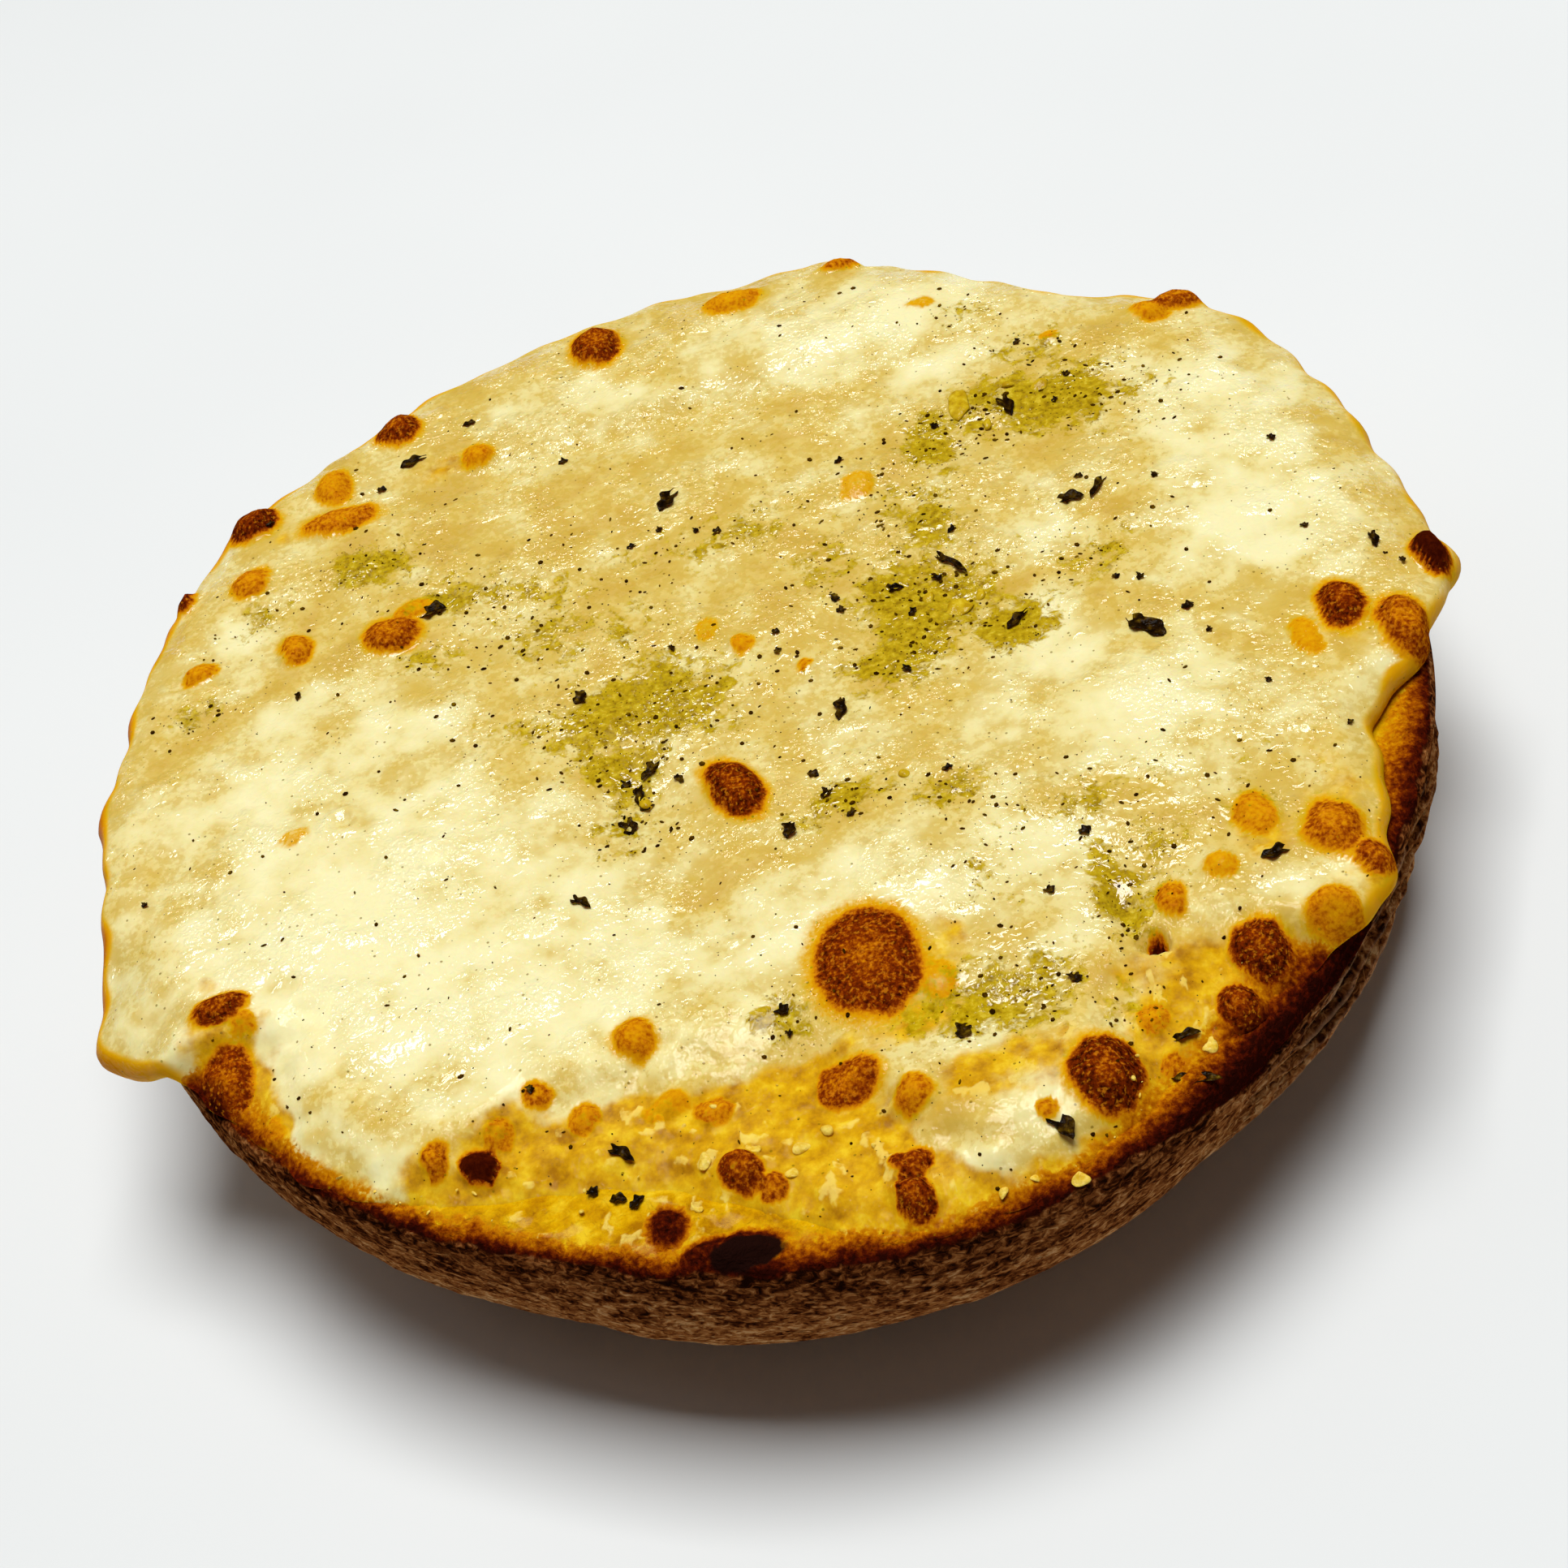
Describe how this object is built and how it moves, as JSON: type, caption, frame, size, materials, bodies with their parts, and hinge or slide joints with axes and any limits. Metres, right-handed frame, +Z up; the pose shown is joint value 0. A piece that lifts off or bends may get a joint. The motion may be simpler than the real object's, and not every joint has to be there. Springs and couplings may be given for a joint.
{
  "type": "cheese bagel half",
  "caption": "Half of a round bread roll cut flat, lying on its crust, with melted browned cheese and herb flakes over the cut face.",
  "frame": {"origin": "on the ground, under the middle of the whole", "axes": "+Z up, out of the cheese; +X to the right of the side that the picture shows, -Y towards the viewer"},
  "size_m": [0.109, 0.1067, 0.025],
  "materials": {
    "crust": "matt baked crust, toasted darker at the rim",
    "cheese": "oily melted cheese with browned blisters"
  },
  "bodies": {
    "root": {"bread": "crust", "cheese": "cheese"}
  },
  "joints": []
}
